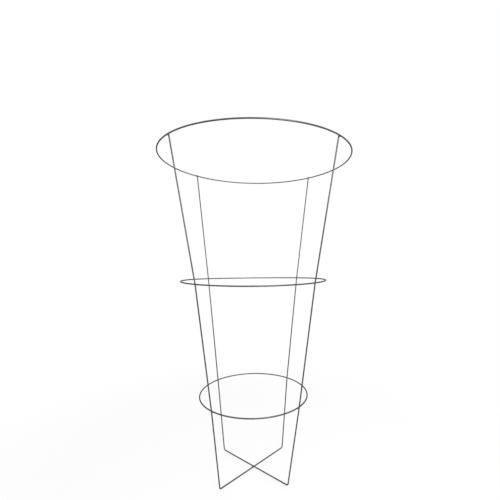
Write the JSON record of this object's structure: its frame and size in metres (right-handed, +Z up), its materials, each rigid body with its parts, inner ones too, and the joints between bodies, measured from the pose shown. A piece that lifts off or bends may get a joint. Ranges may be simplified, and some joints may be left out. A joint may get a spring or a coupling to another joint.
{
  "type": "tomato cage",
  "caption": "Open wire plant support: stacked hoops widening upward, welded to tapering legs whose wires cross along the ground.",
  "frame": {"origin": "in the plane that the cage stands on, under the middle of the top ring", "axes": "+Z up, -Y the front, with the four legs on the diagonals"},
  "size_m": [0.4602, 0.4602, 0.7659],
  "materials": {
    "galvanised_wire": "dull galvanised drawn steel wire",
    "weld_metal": "rough darkened weld metal"
  },
  "bodies": {
    "root": {"top_ring": "galvanised_wire", "middle_ring": "galvanised_wire", "bottom_ring": "galvanised_wire", "lower_leg_frame": "galvanised_wire", "upper_leg_frame": "galvanised_wire", "weld_top_ring_front_left": "weld_metal", "weld_top_ring_front_right": "weld_metal", "weld_top_ring_back_right": "weld_metal", "weld_top_ring_back_left": "weld_metal", "weld_middle_ring_front_left": "weld_metal", "weld_middle_ring_front_right": "weld_metal", "weld_middle_ring_back_right": "weld_metal", "weld_middle_ring_back_left": "weld_metal", "weld_bottom_ring_front_left": "weld_metal", "weld_bottom_ring_front_right": "weld_metal", "weld_bottom_ring_back_right": "weld_metal", "weld_bottom_ring_back_left": "weld_metal", "weld_ground_bars": "weld_metal", "weld_top_ring_joint": "weld_metal", "weld_middle_ring_joint": "weld_metal", "weld_bottom_ring_joint": "weld_metal"}
  },
  "joints": []
}
